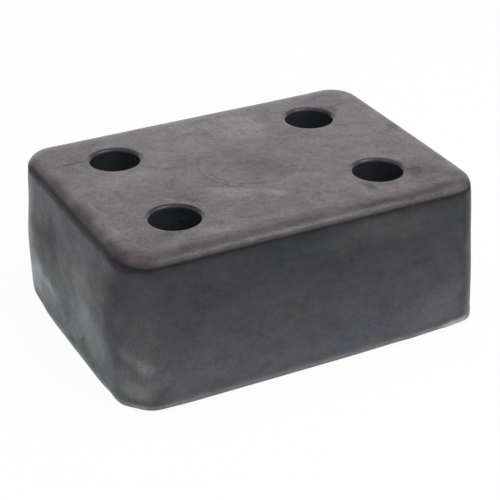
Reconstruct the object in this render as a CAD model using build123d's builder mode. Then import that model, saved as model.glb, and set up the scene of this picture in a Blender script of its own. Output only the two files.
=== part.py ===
from build123d import *
import os
from math import radians, tan

# Moulded rubber buffer block with four recessed bolt holes.
#
# One solid piece of black rubber. It is bolted through its four holes to a wall, a dock edge
# or a ramp, and its rounded top face takes the knocks.
#
# Frame: millimetres, +Z up from the mounting face to the striking face, +X along the length.
# The origin is the middle of the mounting face.

# Block, measured where it is widest, just above the bevel of its base
base_length = 200.0
base_width = 150.0
height = 80.0

# Mould draft: how far the walls lean inwards as they rise, in degrees
end_draft = 3.1
side_draft = 3.8

# Upright corners, at the widest outline and at the top
base_corner_radius = 22.0
top_corner_radius = 14.5

# Edges: the rounded rim of the striking face and the 45 degree bevel round the base
top_edge_radius = 6.2
base_bevel = 3.5

# Four holes for M12 bolts with washers
hole_pitch_length = 112.0
hole_pitch_width = 72.0
bolt_hole_radius = 7.0
recess_radius = 12.5
rubber_under_head = 35.0
mouth_bevel = 1.5

# Outlines that follow from the values above
foot_length = base_length - 2 * base_bevel
foot_width = base_width - 2 * base_bevel
foot_corner_radius = base_corner_radius - base_bevel
wall_height = height - base_bevel
top_length = base_length - 2 * wall_height * tan(radians(end_draft))
top_width = base_width - 2 * wall_height * tan(radians(side_draft))

os.makedirs("parts", exist_ok=True)

with BuildPart() as buffer_block:
    # Mounting face, widest outline and striking face, joined by flat bevels and drafted walls
    with BuildSketch(Plane.XY):
        RectangleRounded(foot_length, foot_width, foot_corner_radius)
    with BuildSketch(Plane.XY.offset(base_bevel)):
        RectangleRounded(base_length, base_width, base_corner_radius)
    with BuildSketch(Plane.XY.offset(height)):
        RectangleRounded(top_length, top_width, top_corner_radius)
    loft(ruled=True)

    # Rounded rim of the striking face
    fillet(buffer_block.edges().group_by(Axis.Z)[-1], top_edge_radius)

    # Bolt holes, each with a recess that sinks the head and washer below the striking face
    with Locations(Plane.XY.offset(height)):
        with GridLocations(hole_pitch_length, hole_pitch_width, 2, 2):
            CounterBoreHole(bolt_hole_radius, recess_radius, height - rubber_under_head)

    # Bevelled mouths of the recesses
    top_face = buffer_block.faces().filter_by(Plane.XY).sort_by(Axis.Z)[-1]
    chamfer(top_face.inner_wires().edges(), mouth_bevel)

buffer_block.part.label = "buffer_block"
export_step(buffer_block.part, "parts/buffer_block.step")
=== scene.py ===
"""Looks of the moulded rubber buffer: a drafted block with a soft rim and four recessed bolt holes."""

from math import cos, pi, radians, sin, tan

import bmesh
import bpy
import numpy as np
from bpy.props import FloatProperty, FloatVectorProperty, PointerProperty
from mathutils import Matrix, Vector


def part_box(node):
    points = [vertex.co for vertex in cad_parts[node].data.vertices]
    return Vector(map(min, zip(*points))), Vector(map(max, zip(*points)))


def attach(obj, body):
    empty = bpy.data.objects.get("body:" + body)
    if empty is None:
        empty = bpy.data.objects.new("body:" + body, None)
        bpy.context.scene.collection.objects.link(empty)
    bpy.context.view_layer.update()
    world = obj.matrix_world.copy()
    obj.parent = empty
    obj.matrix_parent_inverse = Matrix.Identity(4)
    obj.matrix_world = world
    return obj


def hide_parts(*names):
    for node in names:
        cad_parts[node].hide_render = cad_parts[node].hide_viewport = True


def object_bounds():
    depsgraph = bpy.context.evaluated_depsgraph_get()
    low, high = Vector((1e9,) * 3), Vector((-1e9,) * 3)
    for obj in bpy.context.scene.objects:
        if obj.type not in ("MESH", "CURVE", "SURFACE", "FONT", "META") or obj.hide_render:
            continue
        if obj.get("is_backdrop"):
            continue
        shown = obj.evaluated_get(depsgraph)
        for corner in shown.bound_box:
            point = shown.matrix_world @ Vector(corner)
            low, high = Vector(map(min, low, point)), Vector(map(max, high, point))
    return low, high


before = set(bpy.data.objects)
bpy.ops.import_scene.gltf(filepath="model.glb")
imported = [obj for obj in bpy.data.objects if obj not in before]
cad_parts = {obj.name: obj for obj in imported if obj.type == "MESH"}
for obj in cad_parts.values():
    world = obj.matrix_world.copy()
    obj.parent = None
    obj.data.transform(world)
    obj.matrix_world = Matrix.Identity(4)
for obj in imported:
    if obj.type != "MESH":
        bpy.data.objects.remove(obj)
cad_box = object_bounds()
block_low, block_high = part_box("buffer_block")

bl_info = {
    "name": "Rubber Buffer",
    "version": (1, 0, 0),
    "blender": (4, 5, 0),
    "location": "3D View > Sidebar > Rubber Buffer",
    "description": "A moulded rubber buffer block with four recessed bolt holes, and its studio",
    "category": "Add Mesh",
}

MM = 0.001


# ---------------------------------------------------------------- settings


def linear_colour(code):
    """The linear red, green and blue of an sRGB hex code such as #545454."""
    encoded = np.array([int(code[i : i + 2], 16) / 255 for i in (1, 3, 5)])
    linear = np.where(encoded <= 0.04045, encoded / 12.92, ((encoded + 0.055) / 1.055) ** 2.4)
    return tuple(float(channel) for channel in linear)


def size(name, description, default):
    """A length property in metres."""
    return FloatProperty(
        name=name, description=description, default=default, min=0, unit="LENGTH", precision=5
    )


def angle(name, description, degrees):
    """An angle property, given in degrees."""
    return FloatProperty(name=name, description=description, default=radians(degrees), subtype="ANGLE")


def fraction(name, description, default):
    """A property between 0 and 1."""
    return FloatProperty(name=name, description=description, default=default, min=0, max=1)


def watts(name, description, default):
    """A lamp's power."""
    return FloatProperty(name=name, description=description, default=default, min=0, unit="POWER")


def colour(name, description, code):
    """A colour property, given as an sRGB hex code."""
    return FloatVectorProperty(
        name=name, description=description, default=linear_colour(code), size=3, min=0, max=1, subtype="COLOR"
    )


class BufferBlockSettings(bpy.types.PropertyGroup):
    """Sizes of the block; its outer ones are the CAD solid's own."""

    length: size("Length", "Longest side at the foot", block_high.x - block_low.x)
    width: size("Width", "Shorter side at the foot", block_high.y - block_low.y)
    height: size("Height", "Foot to striking face", block_high.z - block_low.z)
    end_draft: angle("End draft", "Lean of the two short walls", 3.01)
    side_draft: angle("Side draft", "Lean of the two long walls", 4.35)
    end_bulge: size("End bulge", "How far the short walls bow out half way up", 0.02 * MM)
    side_bulge: size("Side bulge", "How far the long walls bow out half way up", 1.31 * MM)
    foot_height: size("Foot height", "How high the slanted edge round the foot reaches", 4.8 * MM)
    end_foot_inset: size("End foot inset", "How far in the foot stands under the short walls", 1.6 * MM)
    side_foot_inset: size("Side foot inset", "How far in the foot stands under the long walls", 3.0 * MM)
    foot_corner: size("Foot corner radius", "Upright corners at the foot", 22.6 * MM)
    face_corner: size("Face corner radius", "Upright corners at the striking face, before the rim", 15.0 * MM)
    rim_height: size("Rim height", "How far down the rounded rim reaches", 6.6 * MM)
    rim_inset: size("Rim inset", "How far in the rounded rim reaches", 11.3 * MM)
    rim_fullness: FloatProperty(
        name="Rim fullness", description="2 is an ellipse, more is squarer", default=2.9, min=2
    )
    hole_pitch_length: size("Hole pitch along", "Bolt hole centres along the block", 112 * MM)
    hole_pitch_width: size("Hole pitch across", "Bolt hole centres across the block", 72 * MM)
    recess_radius: size("Recess radius", "Bore that takes the bolt head", 12.5 * MM)
    mouth_rounding: size("Mouth rounding", "Rounded lip of each recess", 1.8 * MM)
    ledge_height: size("Ledge height", "Rubber left under the bolt head", 35 * MM)
    bolt_radius: size("Bolt hole radius", "Bore that takes the bolt", 7 * MM)


class RubberFinishSettings(bpy.types.PropertyGroup):
    """Colours and gloss of the rubber."""

    wall: colour("Wall", "Bare black rubber on the walls", "#212428")
    # also the colour that painted light, standing in for the floor's reflection, lightens the walls towards,
    # low down and on the left end
    dusty_and_lit: colour("Dusty wall", "Rubber greyed by dust and handling", "#858589")
    bloom: colour("Bloom", "Brownish wax bloom where it is thin", "#4b4546")
    heavy_bloom: colour("Heavy bloom", "Brownish wax bloom where it is thick", "#797172")
    # painted shade: the band under the rim, and in part the dark lines round the mouths
    rim: colour("Rim shadow", "Dark band under the rounded rim, and creases round the mouths", "#1f1c20")
    # also darkens the lips, further out on the back right of each mouth, where that is painted shade
    hollow: colour("Hollow", "Clean dark rubber inside the holes", "#393b40")
    purple: colour("Purple cast", "What marks on the purple side turn white into", "#fff0fc")
    green: colour("Green cast", "What marks on the green side turn white into", "#ecfff6")
    cool: colour("Cool cast", "What the slow drift of hue turns white into at one end", "#eff5ff")
    warm: colour("Warm cast", "What it turns white into at the other end", "#fff9ef")
    gloss_roughness: fraction("Bloom roughness", "Satin striking face", 0.27)
    wall_roughness: fraction("Wall roughness", "Duller walls", 0.5)
    band_roughness: fraction("Band roughness", "Dull band under the rim", 0.8)


class StudioSettings(bpy.types.PropertyGroup):
    """Camera, lamps, floor and backdrop."""

    azimuth: angle("Azimuth", "Turn of the camera round the block", -26.68)
    elevation: angle("Elevation", "Height of the camera above the floor, as an angle", 28.68)
    roll: angle("Roll", "Tilt of the camera about its own line of sight", -0.44)
    distance: size("Distance", "Camera to aim point", 0.8254)
    aim: FloatVectorProperty(
        name="Aim point",
        description="What the camera looks at",
        default=(0.00699, 0.01097, 0.02366),
        size=3,
        unit="LENGTH",
    )
    lens: FloatProperty(
        name="Lens", description="Focal length on a 36 mm sensor", default=112.34, unit="CAMERA"
    )
    floor_size: size("Floor size", "Side of the white floor", 12.0)
    floor_white: fraction("Floor white", "Share of the floor that is plain white to the camera", 0.95)
    backdrop_distance: size("Backdrop distance", "Block to the white card behind it", 2.2)
    backdrop_width: size("Backdrop width", "Side to side of the white card", 6.0)
    backdrop_height: size("Backdrop height", "Top of the white card", 1.75)
    key_power: watts("Key power", "Watts of the softbox", 8.0)
    fill_power: watts("Fill power", "Watts of the overhead fill", 24.0)
    ambient: fraction("Ambient", "Grey level of the room", 0.2)


# ---------------------------------------------------------------- shapes

# Points round one quarter of the outline: along its end, round its corner and along its side.
END_COLUMNS, CORNER_COLUMNS, SIDE_COLUMNS = 38, 22, 54
# Points up the walls: over the foot, the wall and the rim.
FOOT_ROWS, WALL_ROWS, RIM_ROWS = 8, 42, 21
# Points down a hole: over its mouth, in the corner of its ledge and over each of its sharp edges.
MOUTH_ROWS, LEDGE_ROWS, EDGE_ROWS = 9, 4, 3
# Points from a hole to the outline: across the striking face, closer together near the hole, and underneath.
FACE_ROWS, UNDERSIDE_ROWS = 56, 4
FACE_GRADING = 1.25
# Steps from the outline to the middle of a face along its length and along its width.
LENGTH_STEPS, WIDTH_STEPS = 56, 40

FOOT_FULLNESS = 1.2  # nearly a straight slant
BROW = 0.25 * MM  # how far the rim stands out from the top of the wall
LEDGE_FILLET = 1.5 * MM
BOLT_EDGE = 1.0 * MM
WELD = 0.01 * MM  # points closer than this are one

# Place, reach and depth, in millimetres, of each swelling (+) and hollow (-) of the walls and foot.
SWELLINGS = (
    ((-96, 64, 37), (14, 16, 16), 0.8),  # back left corner bellies out half way up
    ((-96, 70, 2), (14, 14, 9), -3.0),  # and is tucked in at its foot
    ((-96, 70, 6), (10, 10, 4), 1.1),
    ((-96, 66, 20), (12, 14, 8), -0.3),
    ((-98, 48, 0), (8, 9, 6), -0.9),
    ((-100, 15, 2), (8, 34, 8), 0.2),  # foot of the left end
    ((-98, -48, 0), (7, 8, 5), -0.8),  # front left foot trimmed flat
    ((-94, -66, 0), (4, 4, 4), -0.55),
    ((-98.5, -60, 0), (3, 3, 4), 0.35),
    ((-86, -70, 0), (5, 4, 4), 0.5),
    ((-77, -75, 0), (6, 6, 5), -0.6),
    ((62, -76, 0), (28, 10, 5), -1.1),  # front right foot trimmed back
    ((57, -76, 0), (6, 8, 5), 0.5),
    ((76, -76, 0), (9, 8, 5), -0.9),
    ((93, -68.2, 0), (6, 5.5, 3.5), 3.1),  # and left full at the corner
    ((98, -61, 0), (5, 6, 4), -0.6),
    ((97, -64, 48), (8, 8, 14), -0.35),
    ((92, -62, 79.5), (9, 9, 5), -0.9),  # front right corner of the rim, worn
    ((-20, 70, 79), (110, 9, 6), 0.95),  # back rim a little fuller
    ((75, 68, 79), (20, 10, 6), 0.4),
    ((-82, 68, 79), (10, 8, 6), 0.3),
    ((-99, 66, 70), (8, 10, 9), 0.6),
    ((-92, 64, 79), (6, 6, 5), -0.5),
    ((88, 66, 79), (10, 8, 6), 0.5),
    ((93, 10, 78), (8, 60, 6), 0.3),
)

# How far each hole's axis stands from its true place, along and across, in millimetres.
HOLE_DRIFTS = {
    (-1, -1): (-0.18, 0.2),  # front left
    (1, -1): (-0.78, 0.0),  # front right
    (-1, 1): (-0.85, 0.2),  # back left
    (1, 1): (-0.45, 0.15),  # back right
}


def smooth(values, low, high):
    """Smoothstep: 0 below low, 1 above high, t * t * (3 - 2 t) between; low may be above high."""
    t = np.clip((values - low) / (high - low), 0, 1)
    return t * t * (3 - 2 * t)


def quarter_outline(ends, corner, sides):
    """One quarter of a rounded rectangle as shares: along is how far out the point sits along the length,
    across the same for the width, and turn is the heading of its normal, from the end (0) to the side (90
    degrees)."""
    along = np.concatenate([np.ones(ends + corner + 1), np.linspace(1, 0, sides + 1)[1:]])
    across = np.concatenate([np.linspace(0, 1, ends + 1), np.ones(corner + sides)])
    turn = np.concatenate([np.zeros(ends), np.linspace(0, pi / 2, corner + 1), np.full(sides, pi / 2)])
    return along, across, turn


def full_outline(quarter):
    """The four quarters in turn, mirrored, without their shared points, and the sign of x and of y of each
    point."""
    along, across, turn = quarter
    parts = []
    for sign_x, sign_y, step in ((1, 1, 1), (-1, 1, -1), (-1, -1, 1), (1, -1, -1)):
        picked = [values[::step][:-1] for values in (along, across, turn)]
        count = len(picked[0])
        parts.append(np.array([*picked, np.full(count, sign_x), np.full(count, sign_y)]))
    return np.concatenate(parts, axis=1)


def rounded_corner(start, corner, end, fullness, steps):
    """Superellipse from start to end that hugs the corner: with c the corner, a from 0 to 90 degrees and n
    the fullness, c + (start - c)(1 - sin a ^ 2/n) + (end - c)(1 - cos a ^ 2/n). An n of 1 cuts straight
    across, and 2 is an ellipse."""
    start, corner, end = (np.array(point, float).reshape(2, 1) for point in (start, corner, end))
    a = np.linspace(0, pi / 2, steps)
    from_start = 1 - np.sin(a) ** (2 / fullness)
    from_end = 1 - np.cos(a) ** (2 / fullness)
    return corner + (start - corner) * from_start + (end - corner) * from_end


def wall_profile(half, draft, bulge, foot_inset, block):
    """Half-width and height, foot to striking face, of the wall at half from the middle plane.
    Wall: half - z tan(draft) + 4 bulge t (1 - t), t the share of the block's height, between a nearly
    straight slant at the foot and the soft rim."""
    height = block.height
    wall_top = height - block.rim_height
    z = np.linspace(block.foot_height, wall_top, WALL_ROWS)
    wall = np.array([half - z * tan(draft) + 4 * bulge * z / height * (1 - z / height), z])
    foot = rounded_corner((half - foot_inset, 0), (half, 0), wall[:, 0], FOOT_FULLNESS, FOOT_ROWS)
    brow = wall[0, -1] + BROW
    face_edge = (brow - block.rim_inset, height)
    rim = rounded_corner(wall[:, -1], (brow, height), face_edge, block.rim_fullness, RIM_ROWS)
    return np.concatenate([foot, wall[:, 1:], rim[:, 1:]], axis=1)


def outer_skin(block, outline):
    """Rounded rectangles carried up the wall profile: x = (a - r) along + r cos(turn), and y likewise with
    sin, where a is the half-width of the profile at that height and r the corner radius, which shrinks up the
    wall and by the inset over the rim. Rows run up, columns round."""
    along, across, turn, sign_x, sign_y = outline
    end_half, end_z = wall_profile(
        block.length / 2, block.end_draft, block.end_bulge, block.end_foot_inset, block
    )
    side_half, side_z = wall_profile(
        block.width / 2, block.side_draft, block.side_bulge, block.side_foot_inset, block
    )
    wall_top = block.height - block.rim_height
    inset = np.where(end_z > wall_top, np.interp(wall_top, end_z, end_half) - end_half, 0)
    ax, ay, zx, zy, inset = (values[:, None] for values in (end_half, side_half, end_z, side_z, inset))
    up_wall = np.minimum(zx, wall_top) / block.height
    r = block.foot_corner + (block.face_corner - block.foot_corner) * up_wall - inset
    x = sign_x * ((ax - r) * along + r * np.cos(turn))
    y = sign_y * ((ay - r) * across + r * np.sin(turn))
    z = zx * np.cos(turn) ** 2 + zy * np.sin(turn) ** 2
    skin = np.stack([x, y, z], axis=-1)
    outward = np.stack([sign_x * np.cos(turn), sign_y * np.sin(turn), 0 * turn], axis=-1)
    swollen = skin + outward * swelling(skin)[..., None]
    limits = np.array([block.length / 2, block.width / 2, block.height])
    return np.clip(swollen, -limits, limits)


def swelling(points):
    """How far the hand-trimmed, uneven rubber stands out from (or in of) the true walls: a sum of
    depth exp(-((x - x0) / rx)^2 - ((y - y0) / ry)^2 - ((z - z0) / rz)^2), all in millimetres."""
    total = np.zeros(points.shape[:-1])
    for place, reach, depth in SWELLINGS:
        away = (points / MM - np.array(place)) / np.array(reach)
        total += depth * MM * np.exp(-(away**2).sum(axis=-1))
    return total


def quarter_boundary(loop, inward, outward):
    """Closed boundary of one quarter of a face: its part of the outline, then straight to the middle in so
    many steps and straight back out in so many."""
    to_middle = np.linspace(loop[-1], [0, 0], inward + 1)[1:]
    to_start = np.linspace([0, 0], loop[0], outward + 1)[1:-1]
    return np.concatenate([loop, to_middle, to_start])


def hole_profile(block):
    """Radius and height down one hole, striking face to foot: rounded mouth, recess, ledge, bolt hole."""
    height, mouth = block.height, block.mouth_rounding
    recess, bolt, ledge = block.recess_radius, block.bolt_radius, block.ledge_height
    corners = (
        ((recess + mouth, height), (recess, height), (recess, height - mouth), MOUTH_ROWS),
        ((recess, ledge + LEDGE_FILLET), (recess, ledge), (recess - LEDGE_FILLET, ledge), LEDGE_ROWS),
        ((bolt + BOLT_EDGE, ledge), (bolt, ledge), (bolt, ledge - BOLT_EDGE), EDGE_ROWS),
        ((bolt, BOLT_EDGE), (bolt, 0), (bolt + BOLT_EDGE, 0), EDGE_ROWS),
    )
    parts = [rounded_corner(start, corner, end, 2, rows) for start, corner, end, rows in corners]
    return np.concatenate(parts, axis=1)


def grid_faces(rows, columns, first):
    """Four corner numbers of each cell of a grid whose columns close round, numbered from first."""
    row, column = np.meshgrid(np.arange(rows - 1), np.arange(columns), indexing="ij")
    right = (column + 1) % columns
    here, above = row * columns, (row + 1) * columns
    corners = [here + column, here + right, above + right, above + column]
    return first + np.stack(corners, axis=-1).reshape(-1, 4)


def hole_axis(block, signs):
    """Where the axis of the hole on that side of the block stands, in plan."""
    pitch = np.array([block.hole_pitch_length, block.hole_pitch_width])
    return pitch / 2 * signs + np.array(HOLE_DRIFTS[signs]) * MM


def block_grids(block):
    """The block's surface as grids of points: the outer skin, and for each quarter the striking face ruled
    from its hole to its boundary, the hole itself, and the underside ruled likewise."""
    quarter = quarter_outline(END_COLUMNS, CORNER_COLUMNS, SIDE_COLUMNS)
    skin = outer_skin(block, full_outline(quarter))
    grids = [skin]
    count = len(quarter[0]) - 1
    hole_radius, hole_z = hole_profile(block)
    for number, signs in enumerate(((1, 1), (-1, 1), (-1, -1), (1, -1))):
        columns = np.arange(number * count, (number + 1) * count + 1) % skin.shape[1]
        steps = (LENGTH_STEPS, WIDTH_STEPS) if number % 2 else (WIDTH_STEPS, LENGTH_STEPS)
        face_boundary, under_boundary = (
            quarter_boundary(row[columns, :2], *steps) for row in (skin[-1], skin[0])
        )
        axis = hole_axis(block, signs)
        heading = face_boundary - axis
        heading = heading / np.linalg.norm(heading, axis=1)[:, None]
        hole = axis + hole_radius[:, None, None] * heading
        face_share = np.linspace(0, 1, FACE_ROWS)[:, None, None] ** FACE_GRADING
        face = hole[0] + (face_boundary - hole[0]) * face_share
        under_share = np.linspace(0, 1, UNDERSIDE_ROWS)[:, None, None]
        under = under_boundary + (hole[-1] - under_boundary) * under_share
        heights = (np.full(FACE_ROWS, block.height), hole_z, np.zeros(UNDERSIDE_ROWS))
        for points, z in zip((face, hole, under), heights):
            z = np.broadcast_to(z[:, None, None], points.shape[:2] + (1,))
            grids.append(np.concatenate([points, z], axis=-1))
    return grids


def mesh_from_grids(name, grids):
    """One closed mesh from grids of points whose columns run round: edges that meet are welded, faces turned
    out."""
    vertices, faces, first = [], [], 0
    for grid in grids:
        rows, columns = grid.shape[:2]
        vertices.append(grid.reshape(-1, 3))
        faces.append(grid_faces(rows, columns, first))
        first += rows * columns
    mesh = bpy.data.meshes.new(name)
    mesh.from_pydata(np.concatenate(vertices), [], np.concatenate(faces))
    solid = bmesh.new()
    solid.from_mesh(mesh)
    bmesh.ops.remove_doubles(solid, verts=solid.verts, dist=WELD)
    bmesh.ops.recalc_face_normals(solid, faces=solid.faces)
    open_edges = sum(not edge.is_manifold for edge in solid.edges)
    solid.to_mesh(mesh)
    solid.free()
    if open_edges:
        raise RuntimeError(f"{name} has {open_edges} edges that aren't closed")
    mesh.shade_smooth()
    return mesh


def points_and_normals(mesh):
    """Every point of a mesh and the direction it faces, as two arrays."""
    points = np.empty(len(mesh.vertices) * 3, np.float32)
    normals = np.empty(len(mesh.vertices) * 3, np.float32)
    mesh.vertices.foreach_get("co", points)
    mesh.vertex_normals.foreach_get("vector", normals)
    return points.reshape(-1, 3).astype(float), normals.reshape(-1, 3).astype(float)


def write_attribute(mesh, name, values):
    """A number at each point of the mesh, for its material to read."""
    attribute = mesh.attributes.new(name, "FLOAT", "POINT")
    attribute.data.foreach_set("value", np.asarray(values, np.float32))


def hole_offsets(points, block):
    """Each point's place in plan from the axis of the hole on its side of the block, in metres."""
    offsets = np.empty((len(points), 2))
    for signs in HOLE_DRIFTS:
        near = np.all(np.where(points[:, :2] < 0, -1, 1) == signs, axis=1)
        offsets[near] = points[near, :2] - hole_axis(block, signs)
    return offsets


# ---------------------------------------------------------------- marks

# Wipes, smudges and dusty places, and the painted shade noted below: centre, half-length, half-width, turn in
# degrees, then how much more dust (lighter), green (less purple), warm (less blue) and roughness (duller) the
# place has; on the noted rows the dust share is painted shade.
# Striking face, along and across the block.
FACE_MARKS = (
    (2, 44, 34, 19, 0, 0.28, 0.1, 0, 0),
    (17, 43, 13, 17, -11, 0.30, 0, 0, 0),
    (25, 41, 4, 16, -14, 0.20, 0, 0, 0),
    (36, 45, 4, 16, -14, -0.22, 0, 0, 0),
    (-30, 38, 12, 8, 0, 0.15, 0, 0, 0),
    (12, 24, 14, 3, 0, -0.15, 0, 0, 0),
    (-2, 44, 6, 4, 0, -0.15, 0, 0, 0),
    (-15, -27, 21, 4.5, -29, 0.60, 0, 0, 0),
    (-25, -25, 10, 7, -29, 0.30, 0, 0, 0),
    (-16, -20.5, 19, 1.2, -30, -0.40, 0, 0, 0),
    (2, 0, 22, 22, 0, -0.16, 0, 0, 0),
    (6, -5, 15, 10, -50, -0.28, -0.2, 0, 0),
    (-12, -43, 11, 5, 0, -0.15, 0, 0, 0),
    # painted shade: the front left corner of the rim is darker where its highlight fades; its roughness is
    # the rim's own
    (-87, -63, 12, 6, -45, -0.35, -0.5, 0, 0.30),
    (-40, -7, 11, 5, -20, -0.22, -0.3, 0, 0),
    (-47, -16, 10, 4, -27, -0.22, -0.6, -0.6, 0),
    (-41, -23.7, 3.2, 1.6, -40, -0.60, 0, -0.6, 0),
    (0, -34, 5, 3, -26, 0.25, 0, 0, 0),
    (-10, -52, 18, 3, 0, -0.20, 0, 0, 0),
    (-78, -50, 16, 11, 0, -0.28, 0.2, 0, 0),
    (-80, 46, 10, 12, 0, -0.15, -0.9, 0, 0),
    (-80, 41.5, 11, 1.0, 3, -0.8, -0.3, 0, 0),
    (-71, 42, 4, 9, 10, -0.15, 0.4, -1.4, 0),
    (-56, 52, 12, 3, 0, 0.10, 0, -1.4, 0),
    (-60, 15, 16, 8, -15, 0.30, 0, 0, 0),
    (-45, -56, 13, 5, 0, 0.35, 0, 0, 0),
    # painted shade: the dark band down the left rim, and its crown
    (-95, 0, 5, 80, 0, -0.48, -0.7, -0.5, 0),
    (-96, 0, 3.4, 80, 0, -0.26, 0, 0, 0),
    (-86, -25, 1.0, 36, 4, 0.25, 0, 0, 0),
    # painted shade: the dark band along the right rim and along the back rim
    (93.5, 10, 4.5, 75, 0, -0.72, -0.4, 0.2, 0),
    (0, 69.5, 120, 4, 0, -0.60, 0, 0, 0),
    (-20, 55, 30, 6, 0, 0.15, 0, 0, 0),
    (72, 57, 13, 7, 10, -0.25, -0.7, -0.8, 0),
    (5, 57, 1.5, 4, 0, -0.50, 0, 0, 0),
    (40, 36, 3, 3, 0, 0, -1.2, 0, 0),
    (-38.5, 17, 7.5, 2.4, 63, 0.05, -1.0, 0, 0),
    (87.5, 22, 1.3, 12, 5, -0.12, -1.8, 0.4, 0),
    (-70, 12, 12, 8, 0, 0.15, 0, 0, 0),
    (-76, -58, 12, 4, 0, 0.15, 0, 0, 0),
    (71, 41, 5, 1.0, 38, -0.8, -0.6, 0, 0),
    (71, 40, 5, 1.0, -42, -0.7, -0.6, 0, 0),
    (68, 46, 3, 2, -45, -0.8, -0.6, 0, 0),
    (78, 45, 8, 6, 20, -0.25, 0, 0, 0),
    (74, 18, 13, 1.3, -18, -0.40, 0, 0, 0),
    (71.5, 39, 4, 6, -20, -0.95, -0.5, 0, 0),
    (80, 44, 9, 1.3, 12, -0.35, -0.3, 0, 0),
    (75, -56, 16, 6, 0, -0.35, 0, 0, 0),
    (60, 4, 17, 13, 0, 0.12, -0.1, 0, 0),
    (62, -16, 8, 7, 0, 0.20, -0.7, 0, 0),
    (80, -45, 11, 10, 0, -0.30, 0.3, 0, 0),
    (41, -51, 2.6, 6, 20, -0.8, -0.6, 0, 0),
    (69.5, -45.5, 4.5, 6.5, -27, -0.75, -0.5, 0, 0),
    (77, -48, 7, 6, -27, -0.30, -0.2, 0, 0),
    (55, -56, 12, 3, 0, 0.15, -0.6, 0, 0),
    (25, -30, 9, 5, -30, 0.15, -0.3, 0, 0),
    # painted shade along the near rim: a darker line before its highlight, the highlight dimmed, a dark line
    # beside it towards the right and darker corners; their roughness is the rim's own
    (-10, -61, 60, 1.4, 0, -0.35, 0, 0, 0),
    (-30, -67.5, 130, 3.6, 0, -0.22, 0, 0, 0.09),
    (82, -68, 26, 5, 0, -0.12, -0.3, 0, 0.26),
    (52, -66.5, 26, 1.6, 1, -0.35, -0.5, 0, 0.1),
    (91, -62, 9, 6, -45, -0.35, -0.3, 0, 0.1),
    (40, -68, 30, 3.5, 0, -0.03, 0, 0, 0.06),
    (-68, -68, 22, 3.5, 0, -0.10, 0, 0, 0.08),
    (-64.5, -50.5, 9, 2.6, -27, -0.30, 0, 0, 0),
    (51, -51, 8, 2.2, -10, -0.22, 0, 0, 0),
)
# Rings left by a round washer: centre, radius, half-width, middle and half-span in degrees, dust.
FACE_RINGS = (
    (2, 0, 26.5, 0.8, 195, 65, -0.42),
    (2, 0, 24.8, 0.7, 205, 50, 0.35),
    (2, 0, 23.2, 0.7, 215, 45, -0.45),
    (2, 0, 21.6, 0.7, 215, 35, 0.25),
    (3, 1, 24.5, 2, 60, 60, -0.15),
    (2, 0, 26, 1.5, 275, 40, 0.35),
    (2, 0, 23.6, 0.8, 275, 30, -0.20),
)
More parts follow.
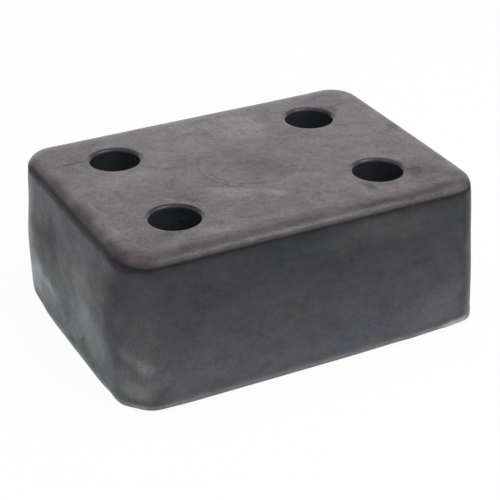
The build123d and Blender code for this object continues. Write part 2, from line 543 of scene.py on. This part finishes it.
# Walls, unrolled: distance round from the middle of the front, and height.
WALL_MARKS = (
    # the rows down to way -231 lie on the left end and its corners: lighter overall than the front, with
    # lighter and darker patches, an upright light strip by the back corner and a light line low down; partly
    # dust, and partly painted reflection of the floor and painted shade
    (-140, 24, 22, 10, 0, 0.24, 1.0, 0, -0.10),
    (-147, 39, 12, 14, 0, 0.10, 1.0, -0.2, -0.05),
    (-150, 15, 18, 2.0, 33, 0.08, -2.4, 0.8, 0),
    (-213, 19, 8, 10, -10, 0.60, 0.6, -0.2, -0.20),
    (-198, 20, 16, 2.2, -8, 0.30, 0.4, -0.4, -0.10),
    (-199, 14, 13, 7, 0, 0.22, 0.3, 0, -0.04),
    (-215, 36, 4, 10, 0, 0.14, 0, 0, -0.05),
    (-190, 20, 12, 5, 0, 0.12, 0, 0, -0.05),
    (-221, 42, 4.5, 44, 0, 0.25, 0.24, 0, -0.11),
    (-231, 42, 14.5, 46, 0, 0.20, 0.16, 0, -0.07),
    (-180, 11, 30, 8, 0, 0.19, 0.3, -0.4, -0.02),
    (-165, 12, 58, 22, 0, 0.03, 1.4, -0.4, 0),
    (-165, 68, 58, 14, 0, 0, 0.2, -0.8, 0),
    (-190, 48, 8, 14, 0, -0.17, -0.4, -1.1, 0.10),
    (-128, 62, 8, 12, 0, -0.06, 0, 0, 0.03),
    (-203, 42, 8, 11, 0, -0.12, 0, 0, 0.06),
    (-189, 66, 14, 9, 0, 0.10, -0.4, -0.6, -0.04),
    (-176, 58, 5, 10, 0, -0.06, -0.3, -0.3, 0),
    (-155, 50, 10, 18, 0, 0.02, 0.4, 0, -0.04),
    (-114, 46, 10, 30, 0, -0.04, -0.2, 0, 0.09),
    (-112, 46, 6, 26, 0, -0.02, 0, 0, 0.08),
    (-115, 70, 9, 6, 0, 0.06, 0, 0, 0),
    (-142, 8, 14, 4, 0, -0.08, 0.8, 0, 0.05),
    (-166, 13, 8, 5, 0, 0.10, -1.0, 0, 0),
    (-148, 14, 3, 1.5, 40, -0.18, 0, 0, 0.12),
    (-162, 6.5, 3.5, 1.5, 0, -0.25, 0, 0, 0.15),
    (-170, 13.5, 2.5, 1.5, 20, -0.15, 0, 0, 0.12),
    (-92, 50, 11, 30, 0, 0.13, 0.1, 0.4, -0.03),
    (-94, 19, 10, 14, 0, 0.18, 0.2, 0.6, -0.03),
    (-100, 29, 4, 3.5, -20, 0.25, 0.1, 0.3, -0.04),
    (-92, 25, 4.5, 3.2, -35, 0.42, 0.1, 0.3, -0.05),
    (-95, 11, 6.5, 4.5, -10, 0.48, 0, 1.4, -0.05),
    (-88, 13, 3, 6, 15, 0.14, 0.4, 0, 0),
    (-103, 15, 5, 8, 0, 0.12, 0, 0.3, 0),
    (-82, 19, 4.5, 4, 20, 0.20, 0.2, -0.4, -0.03),
    (-91, 5.4, 17, 0.9, 0, -0.18, 0, 0, 0.10),
    # painted reflection of the floor: a lighter strip along the foot's slant at the front left
    (-85, 2, 28, 2.6, 0, 0.12, 1.0, 0, 0),
    # painted highlight: the bright wedge on the foot at the front right corner
    (84, 1.6, 9, 3.0, 2, 1.9, 0.3, 1.2, -0.05),
    (74, 7, 26, 1.5, 0, -0.05, 0, 0, 0),
    (74, 54, 12, 12, 0, 0.03, 0, 0, 0),
    (-62, 18, 24, 15, 0, 0.08, 0, 0, 0),
    (20, 10, 60, 8, 0, 0.04, 0, -0.3, 0),
    (65, 14, 16, 12, 0, 0.11, 0, -0.2, 0),
    (86, 15, 5, 12, 0, -0.07, 0, 0, 0.05),
    # painted reflection of the floor: a lighter strip along the front of the foot
    (-10, 2, 62, 2.6, 0, 0.08, 0.8, 0.3, 0),
    (15, 56, 38, 5, 3, -0.03, -0.5, 0, 0.04),
    (38, 67, 36, 7, 0, 0.12, 0.3, 1.0, 0),
    (-60, 67, 26, 8, 0, 0.05, -0.4, 0, 0),
    (-10, 66, 18, 8, 0, -0.02, 0.1, -0.3, 0),
    (25, 12, 14, 7, 0, 0.02, -0.4, -1.2, 0),
    (15, 63, 42, 1.6, 1, -0.035, 0, 0, 0.04),
    (54, 44.5, 15, 1.6, 6, -0.05, 0, 0, 0.04),
    (87, 40, 4, 45, 0, -0.06, 0, 0, 0.10),
)


def marks_at(first, second, marks):
    """Four sums of the marks, for dust (with painted light and shade on some rows), green, warm and
    roughness:
    each adds its share times exp(-q^2), q = (a / length)^2 + (b / width)^2, a and b the turned distances from
    its centre. Slow sines nudge the wide ones, so that their edges wander as hand marks do."""
    wander = 1.5 * np.sin(second / 6.1 + 0.7) + 0.8 * np.sin(second / 2.3)
    drift = 1.5 * np.sin(first / 7.3) + 0.8 * np.sin(first / 2.7 + 1.9)
    totals = np.zeros((4, len(first)))
    for u, v, length, width, turn, *shares in marks:
        nudged = min(1, width / 4)
        away = first + nudged * wander - u
        aside = second + nudged * drift - v
        a = (away * cos(radians(turn)) + aside * sin(radians(turn))) / length
        b = (aside * cos(radians(turn)) - away * sin(radians(turn))) / width
        totals += np.outer(shares, np.exp(-((a**2 + b**2) ** 2)))
    return totals


def rings_at(x, y, rings):
    """Sum of the part rings, each dust exp(-((distance - radius) / width)^2), fading out past its span."""
    fade = 15
    total = np.zeros(len(x))
    for centre_x, centre_y, radius, width, middle, span, dust_and_shading in rings:
        off = (np.hypot(x - centre_x, y - centre_y) - radius) / width
        turn = (np.degrees(np.arctan2(y - centre_y, x - centre_x)) - middle + 180) % 360 - 180
        total += dust_and_shading * np.exp(-(off**2)) * smooth(np.abs(turn), span + fade, span - fade)
    return total


def way_round(points, block):
    """Distance in millimetres round the walls, from the middle of the front: x on the front, then the
    corner's arc, then along the end, and on to the middle of the back; negative to the left."""
    radius = block.foot_corner / MM
    x, y = points[:, 0] / MM, points[:, 1] / MM
    flat_x, flat_y = block.length / MM / 2 - radius, block.width / MM / 2 - radius
    beyond_x, beyond_y = np.maximum(np.abs(x) - flat_x, 0), np.maximum(np.abs(y) - flat_y, 1e-9)
    turned = radius * np.arctan2(beyond_x, beyond_y)
    quarter = np.minimum(np.abs(x), flat_x) + turned + flat_y - np.minimum(np.abs(y), flat_y)
    end_middle = flat_x + radius * pi / 2 + flat_y
    return np.sign(x) * np.where(y < 0, quarter, 2 * end_middle - quarter)


def mouth_finish(points, block):
    """Two shares for each point. Hollow is 1 down the holes and less on their lips, where the bloom has worn
    off, and painted shade carries it further out on the back right of each mouth. Crease_and_shade is a thin
    dark line round each mouth, exp(-((distance from the axis - radius) / width)^2), partly creases in the
    rubber and partly painted shade, which makes it strongest on the back right."""
    x, y, z = (points / MM).T
    height = block.height / MM
    offsets = hole_offsets(points, block) / MM
    from_axis = np.linalg.norm(offsets, axis=1)
    recess, mouth = block.recess_radius / MM, (block.recess_radius + block.mouth_rounding) / MM
    on_lip = smooth(z, height - 3, height - 2)
    # the lip is darkened further out on the back right of each mouth, which is painted shade, and the bloom
    # reaches further in on the front left
    back_right = (0.45, 0.89)
    toward_back_right = smooth(offsets @ back_right / from_axis, -0.6, 0.6)
    bare = mouth - 0.6 + 0.8 * toward_back_right
    worn_and_shaded_lip = 0.68 * on_lip * smooth(from_axis, bare, bare - 0.7)
    below_mouth = smooth(z, height - 0.6, height - 1.6)
    within_recess = smooth(from_axis, recess + 1, recess + 0.2)
    above_underside = smooth(z, -0.1, 0.1)
    hollow = np.maximum(below_mouth * within_recess * above_underside, worn_and_shaded_lip)
    # the dark line is sharper and further in on the left mouths, most of all the front one, and painted shade
    # makes it strongest on the back right
    sharp = np.where(x < 0, np.where(y < 0, 1.0, 0.5), 0.0)
    radius, width = mouth + 0.1 - 0.45 * sharp, 0.5
    strength = 0.2 + (0.5 + 0.3 * sharp) * toward_back_right
    crease_and_shade = strength * on_lip * np.exp(-(((from_axis - radius) / width) ** 2))
    return hollow, crease_and_shade


def finish_attributes(mesh, block, finish):
    """Writes, for the rubber's material: bloom, 1 on the striking face and its rim; dust_and_shading, the
    greying and the marks, with painted light lower on the walls and on the left end and painted shade along
    the rims;
    green, the drift from purple to green; warm, from blue to yellow; roughness; rim_shadow, the painted shade
    of the dark band under the rim and of the dark lines round the mouths, which are partly creases; hollow, 1
    inside the holes; end_wall, 1 on the short walls."""
    points, normals = points_and_normals(mesh)
    x, y, z = (points / MM).T
    height, way = block.height / MM, way_round(points, block)
    # 1 along the left end, fading out round both of its corners
    left_end = smooth(way, -84, -106) * smooth(way, -240, -218)
    # the bloom stops part way down the rim, a little higher on the left end
    bloom_foot = height - 5.2 + 1.55 * left_end
    on_top = smooth(z, bloom_foot, bloom_foot + 2.2)
    hollow, crease_and_shade = mouth_finish(points, block)
    # painted shade: the dark band under the rim, reaching lower and a little lighter on the left end
    band = smooth(z, height - 7.4 - left_end, height - 5.0 - left_end) * smooth(on_top, 0.9, 0.1)
    band *= 1 - 0.3 * left_end

    wall_dust_and_shading, wall_green, wall_warm, wall_rough = marks_at(way, z, WALL_MARKS)
    face_dust_and_shading, face_green, face_warm, face_rough = marks_at(x, y, FACE_MARKS)
    # painted reflection of the floor: the walls are lighter towards the foot, and most of all on its slant
    foot = block.foot_height / MM
    wall_dust_and_shading += 0.33 * (1 - z / (height - 4)) + 0.30 * smooth(z, foot + 0.6, foot - 0.6)
    face_dust_and_shading += 0.61 + rings_at(x, y, FACE_RINGS)
    wall_dust_and_shading, face_dust_and_shading = np.maximum(wall_dust_and_shading, -0.03), np.maximum(face_dust_and_shading, -0.4)
    wall_green -= 0.25
    wall_warm -= 0.2 + 0.3 * left_end
    wall_rough += finish.wall_roughness + (finish.band_roughness - finish.wall_roughness) * band
    face_rough += finish.gloss_roughness
    for name, wall, face in (
        ("dust_and_shading", wall_dust_and_shading, face_dust_and_shading),
        ("green", wall_green, face_green),
        ("warm", wall_warm, face_warm),
        ("roughness", wall_rough, face_rough),
    ):
        write_attribute(mesh, name, wall + (face - wall) * on_top)
    write_attribute(mesh, "bloom", on_top)
    write_attribute(mesh, "rim_shadow", np.maximum(band, crease_and_shade))
    write_attribute(mesh, "hollow", hollow)
    write_attribute(mesh, "end_wall", smooth(np.abs(normals[:, 0]), 0.4, 0.9))


# ---------------------------------------------------------------- finish


def add_node(tree, kind, inputs=(), **settings):
    """Adds one node: settings are its own, and inputs gives each socket a value or another node's output."""
    node = tree.nodes.new(kind)
    for name, value in settings.items():
        setattr(node, name, value)
    for socket, value in dict(inputs).items():
        if isinstance(value, bpy.types.NodeSocket):
            tree.links.new(value, node.inputs[socket])
        else:
            node.inputs[socket].default_value = value
    return node


def empty_material(name):
    """A material with nothing in its node tree yet."""
    material = bpy.data.materials.new(name)
    material.use_nodes = True
    material.node_tree.nodes.clear()
    return material


def wiped_place(tree, place, bloom, end_wall):
    """Coordinates drawn out the way hands wipe: slanting across the striking face, along the long walls, and
    along the short ones with a tip of 12 degrees."""
    wiped = []
    for turn, stretch in (
        ((0, 0, radians(-20)), (1.8, 1, 1)),
        ((0, radians(-2), 0), (1.8, 1, 1)),
        ((radians(12), 0, 0), (1, 1.5, 1)),
    ):
        drawn = {"Vector": place, "Rotation": turn, "Scale": stretch}
        wiped.append(add_node(tree, "ShaderNodeMapping", drawn, vector_type="TEXTURE").outputs[0])
    face, long_wall, short_wall = wiped
    either = {0: end_wall, 4: long_wall, 5: short_wall}
    wall = add_node(tree, "ShaderNodeMix", either, data_type="VECTOR").outputs[1]
    return add_node(tree, "ShaderNodeMix", {0: bloom, 4: wall, 5: face}, data_type="VECTOR").outputs[1]


def rubber_mottling(tree, place, wiped, bloom):
    """Sum of four noises, each (noise - 0.5) times its strength on that side: cloudy greying, wipes, 2 mm
    mottling, and grain, which is drawn a millimetre across so that it still shows."""
    pattern_outputs = []
    for vector, across, detail, distortion, on_walls, on_face in (
        (place, 17, 2, 0.8, 0.6, 0.6),
        (wiped, 5, 4, 0.8, 0.6, 0.70),
        (wiped, 2.0, 3, 0.4, 0.42, 0.55),
        (place, 1.1, 1, 0, 0.55, 0.85),
    ):
        pattern = {"Vector": vector, "Scale": 1 / (across * MM), "Detail": detail, "Roughness": 0.6}
        pattern["Distortion"] = distortion
        noise = add_node(tree, "ShaderNodeTexNoise", pattern)
        shares = {0: bloom, 1: on_face - on_walls, 2: on_walls}
        strength = add_node(tree, "ShaderNodeMath", shares, operation="MULTIPLY_ADD")
        pattern_outputs.append((noise.outputs["Fac"], strength.outputs[0]))
    mottling = 0.0
    for output, strength in pattern_outputs:
        centred = add_node(tree, "ShaderNodeMath", {0: output, 1: 0.5}, operation="SUBTRACT")
        added = {0: centred.outputs[0], 1: strength, 2: mottling}
        mottling = add_node(tree, "ShaderNodeMath", added, operation="MULTIPLY_ADD").outputs[0]
    return mottling


def layered_colour(tree, finish, dust_and_shading, bloom, hollow, rim):
    """Dust, with painted light and shade, over bare rubber on the walls, bloom of that thickness on the
    striking
    face, then the dark places over both: the hollows, and the painted shade under the rim and round the
    mouths."""
    wall_colours = {0: dust_and_shading, 6: (*finish.wall, 1), 7: (*finish.dusty_and_lit, 1)}
    face_colours = {0: dust_and_shading, 6: (*finish.bloom, 1), 7: (*finish.heavy_bloom, 1)}
    wall = add_node(tree, "ShaderNodeMix", wall_colours, data_type="RGBA", clamp_factor=False).outputs[2]
    face = add_node(tree, "ShaderNodeMix", face_colours, data_type="RGBA", clamp_factor=False).outputs[2]
    layered = add_node(tree, "ShaderNodeMix", {0: bloom, 6: wall, 7: face}, data_type="RGBA").outputs[2]
    for factor, dark in ((hollow, finish.hollow), (rim, finish.rim)):
        over = {0: factor, 6: layered, 7: (*dark, 1)}
        layered = add_node(tree, "ShaderNodeMix", over, data_type="RGBA").outputs[2]
    return layered


def drifting_hue(tree, finish, hued, place, bloom, warm, green):
    """The colour times two casts. Each cast runs from one tint to another with the marks and with a slow
    noise of its own: from cool to warm, less so on the striking face, and from purple to green."""
    for across, on_walls, on_face, marked, one, other in (
        (12, 2.7, 0.75, warm, finish.cool, finish.warm),
        (2.5, 1.1, 0.6, green, finish.purple, finish.green),
    ):
        pattern = {"Vector": place, "Scale": 1 / (across * MM), "Detail": 3, "Roughness": 0.6}
        noise = add_node(tree, "ShaderNodeTexNoise", pattern).outputs["Fac"]
        centred = add_node(tree, "ShaderNodeMath", {0: noise, 1: 0.5}, operation="SUBTRACT").outputs[0]
        shares = {0: bloom, 1: on_face - on_walls, 2: on_walls}
        reach = add_node(tree, "ShaderNodeMath", shares, operation="MULTIPLY_ADD").outputs[0]
        from_marks = {0: marked, 1: 0.5, 2: 0.5}
        middle = add_node(tree, "ShaderNodeMath", from_marks, operation="MULTIPLY_ADD").outputs[0]
        drifted = {0: centred, 1: reach, 2: middle}
        drift = add_node(tree, "ShaderNodeMath", drifted, operation="MULTIPLY_ADD").outputs[0]
        ends = {0: drift, 6: (*one, 1), 7: (*other, 1)}
        cast = add_node(tree, "ShaderNodeMix", ends, data_type="RGBA", clamp_factor=False).outputs[2]
        hued = add_node(tree, "ShaderNodeVectorMath", {0: hued, 1: cast}, operation="MULTIPLY").outputs[0]
    return hued


def moulded_rubber(finish):
    """Black EPDM rubber, compression moulded: satin, charcoal on the walls, with a brownish wax bloom on the
    striking face that stops at the rim, and clean darker rubber down the holes."""
    material = empty_material("moulded_black_rubber")
    tree = material.node_tree
    place = add_node(tree, "ShaderNodeTexCoord").outputs["Object"]
    bloom, dust_and_shading, green, warm, roughness, rim, hollow, end_wall = (
        add_node(tree, "ShaderNodeAttribute", attribute_name=name).outputs["Fac"]
        for name in ("bloom", "dust_and_shading", "green", "warm", "roughness", "rim_shadow", "hollow", "end_wall")
    )
    wiped = wiped_place(tree, place, bloom, end_wall)
    mottling = rubber_mottling(tree, place, wiped, bloom)
    layered = layered_colour(tree, finish, dust_and_shading, bloom, hollow, rim)
    hued = drifting_hue(tree, finish, layered, place, bloom, warm, green)
    brightness = add_node(tree, "ShaderNodeMath", {0: mottling, 1: 1.0}, operation="ADD").outputs[0]
    brightened = {0: hued, "Scale": brightness}
    mottled = add_node(tree, "ShaderNodeVectorMath", brightened, operation="SCALE").outputs[0]

    # lighter places are also a little smoother
    smoothed = {0: mottling, 1: -0.3, 2: roughness}
    gloss = add_node(tree, "ShaderNodeMath", smoothed, operation="MULTIPLY_ADD", use_clamp=True).outputs[0]
    relief = {"Height": mottling, "Strength": 0.5, "Distance": 0.1 * MM}
    bump = add_node(tree, "ShaderNodeBump", relief).outputs[0]
    skin = {"Base Color": mottled, "Roughness": gloss, "IOR": 1.5, "Normal": bump}
    shader = add_node(tree, "ShaderNodeBsdfPrincipled", skin)
    add_node(tree, "ShaderNodeOutputMaterial", {"Surface": shader.outputs[0]})
    return material


def white_surface(name, own_light):
    """Matt white paper: lit by the lamps, and own_light of it plain white to the camera, to reflections and
    through glass, so that it stays white and still keeps a soft shadow."""
    material = empty_material(name)
    tree = material.node_tree
    path = add_node(tree, "ShaderNodeLightPath").outputs
    seen = path["Is Camera Ray"]
    for ray in ("Is Glossy Ray", "Is Transmission Ray"):
        seen = add_node(tree, "ShaderNodeMath", {0: seen, 1: path[ray]}, operation="MAXIMUM").outputs[0]
    share = add_node(tree, "ShaderNodeMath", {0: seen, 1: own_light}, operation="MULTIPLY").outputs[0]
    lit = add_node(tree, "ShaderNodeBsdfDiffuse", {"Color": (0.9, 0.9, 0.9, 1)}).outputs[0]
    plain = add_node(tree, "ShaderNodeEmission", {"Color": (1, 1, 1, 1), "Strength": 1.0}).outputs[0]
    both = add_node(tree, "ShaderNodeMixShader", {0: share, 1: lit, 2: plain}).outputs[0]
    add_node(tree, "ShaderNodeOutputMaterial", {"Surface": both})
    return material


def add_object(name, mesh, material):
    """An object for the mesh, in the scene, with the material."""
    made = bpy.data.objects.new(name, mesh)
    made.data.materials.append(material)
    bpy.context.scene.collection.objects.link(made)
    return made


def add_sheet(name, corners, material):
    """A flat sheet of the studio with those four corners."""
    mesh = bpy.data.meshes.new(name)
    mesh.from_pydata(corners, [], [(0, 1, 2, 3)])
    add_object(name, mesh, material)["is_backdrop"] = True


def add_lamp(name, place, sides, power, mirrored):
    """A rectangular lamp that faces the block; mirrored says whether it shows in reflections."""
    data = bpy.data.lights.new(name, "AREA")
    data.shape = "RECTANGLE"
    data.size, data.size_y = sides
    data.energy = power
    lamp = bpy.data.objects.new(name, data)
    bpy.context.scene.collection.objects.link(lamp)
    lamp.location = place
    lamp.rotation_euler = place.to_track_quat("Z", "Y").to_euler()
    lamp.visible_camera = False
    lamp.visible_glossy = mirrored


def add_camera(scene, studio, sideways):
    """The scene's camera, which looks at the aim point from the studio's azimuth, elevation and distance."""
    turn, rise, roll = studio.azimuth, studio.elevation, studio.roll
    back = Vector((sin(turn) * cos(rise), -cos(turn) * cos(rise), sin(rise)))
    level_up = back.cross(sideways)
    right = cos(roll) * sideways + sin(roll) * level_up
    up = cos(roll) * level_up - sin(roll) * sideways
    lens = bpy.data.cameras.new("camera")
    lens.lens = studio.lens
    lens.sensor_width = 36
    lens.clip_start = 0.01
    camera = bpy.data.objects.new("camera", lens)
    scene.collection.objects.link(camera)
    axes = Matrix((right, up, back)).transposed().to_4x4()
    camera.matrix_world = Matrix.Translation(Vector(studio.aim) + back * studio.distance) @ axes
    scene.camera = camera


# ---------------------------------------------------------------- operators


class BUFFER_OT_add_block(bpy.types.Operator):
    """Add the moulded rubber block in place of its CAD solid"""

    bl_idname = "rubber_buffer.add_block"
    bl_label = "Add Rubber Block"

    def execute(self, context):
        block, finish = context.scene.buffer_block, context.scene.buffer_finish
        mesh = mesh_from_grids("rubber_block", block_grids(block))
        finish_attributes(mesh, block, finish)
        piece = add_object("rubber_block", mesh, moulded_rubber(finish))
        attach(piece, "root")
        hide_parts("buffer_block")
        return {"FINISHED"}


class BUFFER_OT_add_studio(bpy.types.Operator):
    """Add the white floor and backdrop, the lamps, the room light and the camera"""

    bl_idname = "rubber_buffer.add_studio"
    bl_label = "Add Studio"

    def execute(self, context):
        scene = context.scene
        studio = scene.buffer_studio
        scene.view_settings.view_transform = "Standard"

        half = studio.floor_size / 2
        floor_corners = [(-half, -half, 0), (half, -half, 0), (half, half, 0), (-half, half, 0)]
        add_sheet("floor", floor_corners, white_surface("white_floor", studio.floor_white))

        turn = studio.azimuth
        behind = Vector((-sin(turn), cos(turn), 0))
        sideways = Vector((cos(turn), sin(turn), 0))
        middle = behind * studio.backdrop_distance
        reach = sideways * studio.backdrop_width / 2
        top = Vector((0, 0, studio.backdrop_height))
        card_corners = [middle - reach, middle + reach, middle + reach + top, middle - reach + top]
        add_sheet("backdrop", card_corners, white_surface("white_backdrop", 1.0))

        softbox_place, overhead_place = Vector((0.393, -0.452, 0.801)) * 1.5, Vector((-0.1, -0.2, 1.9))
        add_lamp("softbox", softbox_place, (1.0, 1.0), studio.key_power, True)
        add_lamp("overhead_fill", overhead_place, (2.2, 2.2), studio.fill_power, False)

        world = bpy.data.worlds.new("grey_room")
        scene.world = world
        world.use_nodes = True
        background = world.node_tree.nodes["Background"]
        background.inputs["Color"].default_value = (studio.ambient, studio.ambient, studio.ambient, 1)
        background.inputs["Strength"].default_value = 1.0

        add_camera(scene, studio, sideways)
        return {"FINISHED"}


class BUFFER_PT_panel(bpy.types.Panel):
    """The rubber buffer's sizes, finish and studio"""

    bl_label = "Rubber Buffer"
    bl_idname = "BUFFER_PT_panel"
    bl_space_type = "VIEW_3D"
    bl_region_type = "UI"
    bl_category = "Rubber Buffer"

    def draw(self, context):
        parts = (
            ("buffer_block", BUFFER_OT_add_block),
            ("buffer_finish", None),
            ("buffer_studio", BUFFER_OT_add_studio),
        )
        for group_name, operator in parts:
            group = getattr(context.scene, group_name)
            column = self.layout.column()
            for name in group.__annotations__:
                column.prop(group, name)
            if operator:
                self.layout.operator(operator.bl_idname)


CLASSES = (
    BufferBlockSettings,
    RubberFinishSettings,
    StudioSettings,
    BUFFER_OT_add_block,
    BUFFER_OT_add_studio,
    BUFFER_PT_panel,
)


def register():
    """Registers the classes and hangs the three groups of settings on the scene."""
    for cls in CLASSES:
        bpy.utils.register_class(cls)
    bpy.types.Scene.buffer_block = PointerProperty(type=BufferBlockSettings)
    bpy.types.Scene.buffer_finish = PointerProperty(type=RubberFinishSettings)
    bpy.types.Scene.buffer_studio = PointerProperty(type=StudioSettings)


def unregister():
    """Takes back what register did."""
    del bpy.types.Scene.buffer_studio
    del bpy.types.Scene.buffer_finish
    del bpy.types.Scene.buffer_block
    for cls in reversed(CLASSES):
        bpy.utils.unregister_class(cls)


def main():
    """Registers the add-on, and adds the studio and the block."""
    register()
    bpy.ops.rubber_buffer.add_studio()
    bpy.ops.rubber_buffer.add_block()
    boxes = {"cad": cad_box, "visual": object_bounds()}
    boxes = {name: [[float(value) for value in corner] for corner in box] for name, box in boxes.items()}


if __name__ == "__main__":
    main()
